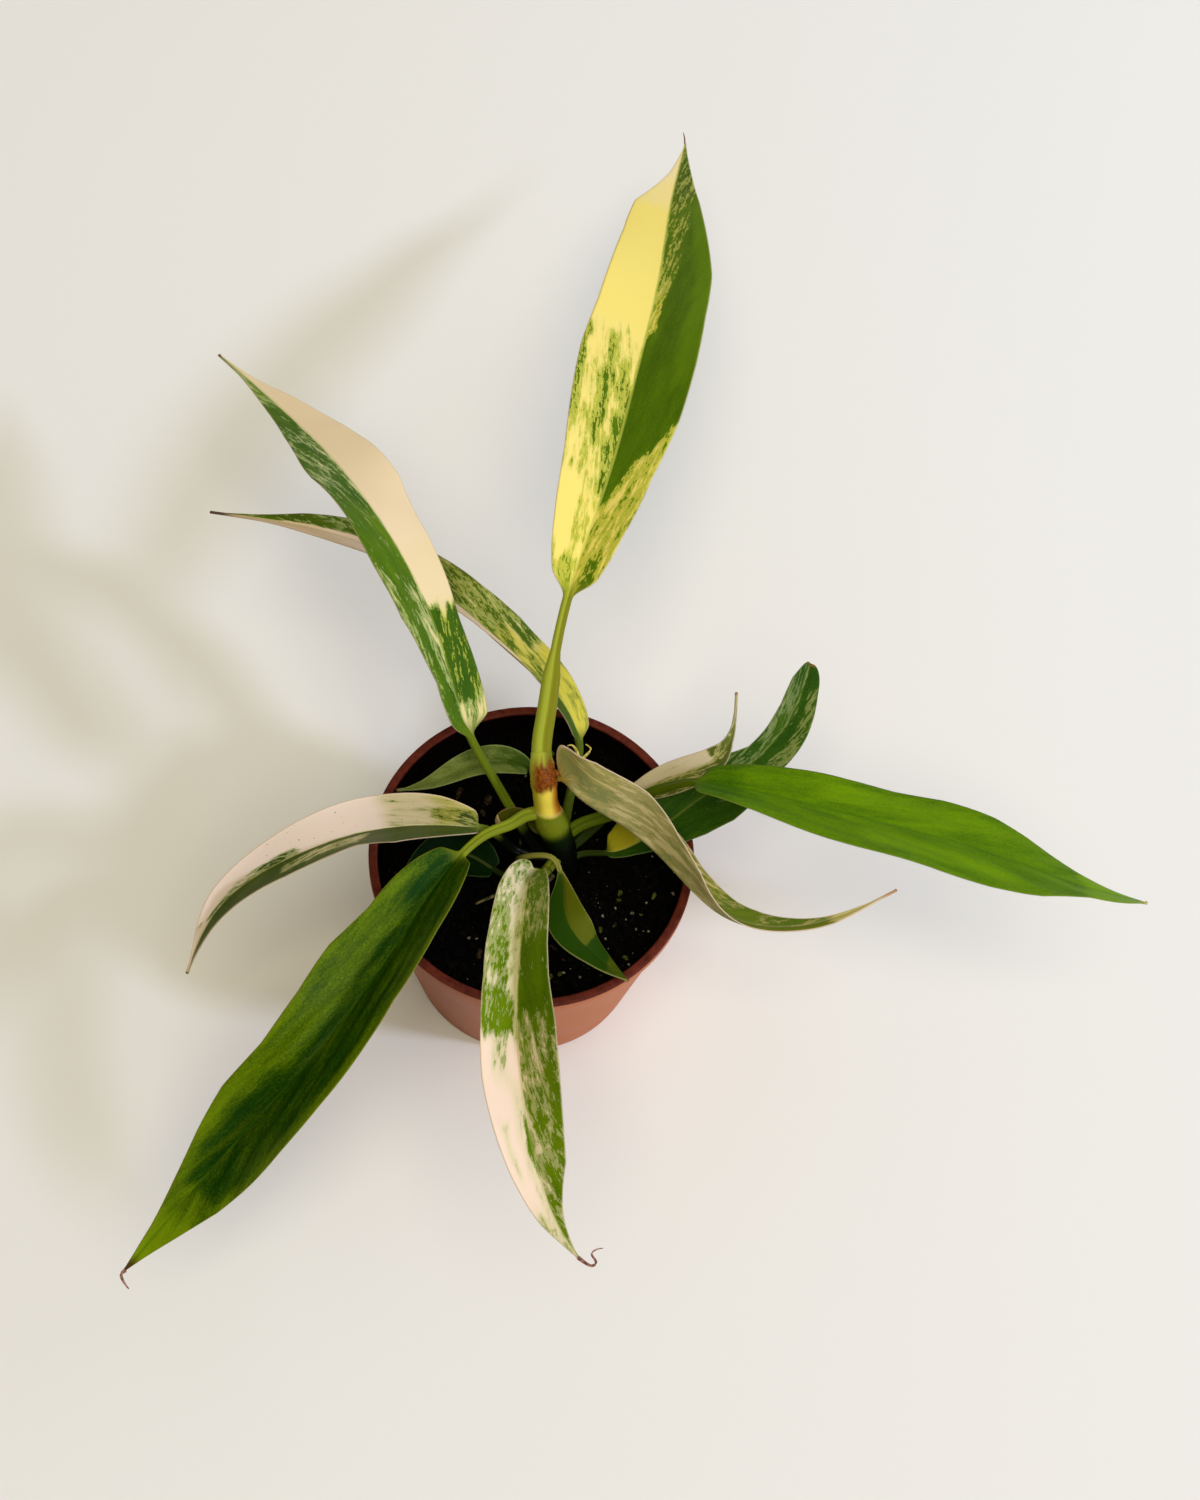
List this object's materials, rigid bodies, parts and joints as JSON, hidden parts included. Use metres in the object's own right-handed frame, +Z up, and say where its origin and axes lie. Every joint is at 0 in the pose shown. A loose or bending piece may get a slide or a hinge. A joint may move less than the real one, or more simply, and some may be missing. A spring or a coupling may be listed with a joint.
{
  "type": "potted philodendron",
  "caption": "Young philodendron with long, narrow, cream and green variegated leaves arching out of a round terracotta-coloured plastic pot.",
  "frame": {"origin": "centre of the pot's flat underside", "axes": "+Z up through the pot; +Y towards the back, where the tall leaf leans; +X to the right, where the plain green leaf reaches out"},
  "size_m": [0.3823, 0.5252, 0.1553],
  "materials": {
    "terracotta_plastic": "thin moulded plastic, terracotta coloured, slightly satin",
    "peat_soil": null,
    "green_stem": "green and golden stem, smooth, slightly glossy",
    "deep_green_leaf": "deep green leaf, smooth, satin",
    "fresh_green_leaf": "bright green leaf, smooth, satin",
    "cream_marbled_leaf": "leaf marbled in cream, yellow and green, smooth, satin",
    "pale_underside_leaf": "pale grey-green underside of a leaf, matt",
    "olive_sheath": "old leaf sheath, olive with a dry reddish edge"
  },
  "bodies": {
    "root": {"pot": "terracotta_plastic", "soil": "peat_soil", "stem": "green_stem", "leaf_tall": "cream_marbled_leaf", "leaf_upper_left": "cream_marbled_leaf", "leaf_back_left": "cream_marbled_leaf", "leaf_cream_left": "cream_marbled_leaf", "leaf_front_left": "deep_green_leaf", "leaf_front_marbled": "cream_marbled_leaf", "leaf_front_small": "fresh_green_leaf", "leaf_right_twisted": "pale_underside_leaf", "leaf_right_green": "fresh_green_leaf", "leaf_right_folded": "deep_green_leaf", "leaf_right_pale": "pale_underside_leaf", "leaf_low_arched": "deep_green_leaf", "leaf_low_dark": "deep_green_leaf", "old_sheath": "olive_sheath"}
  },
  "joints": []
}
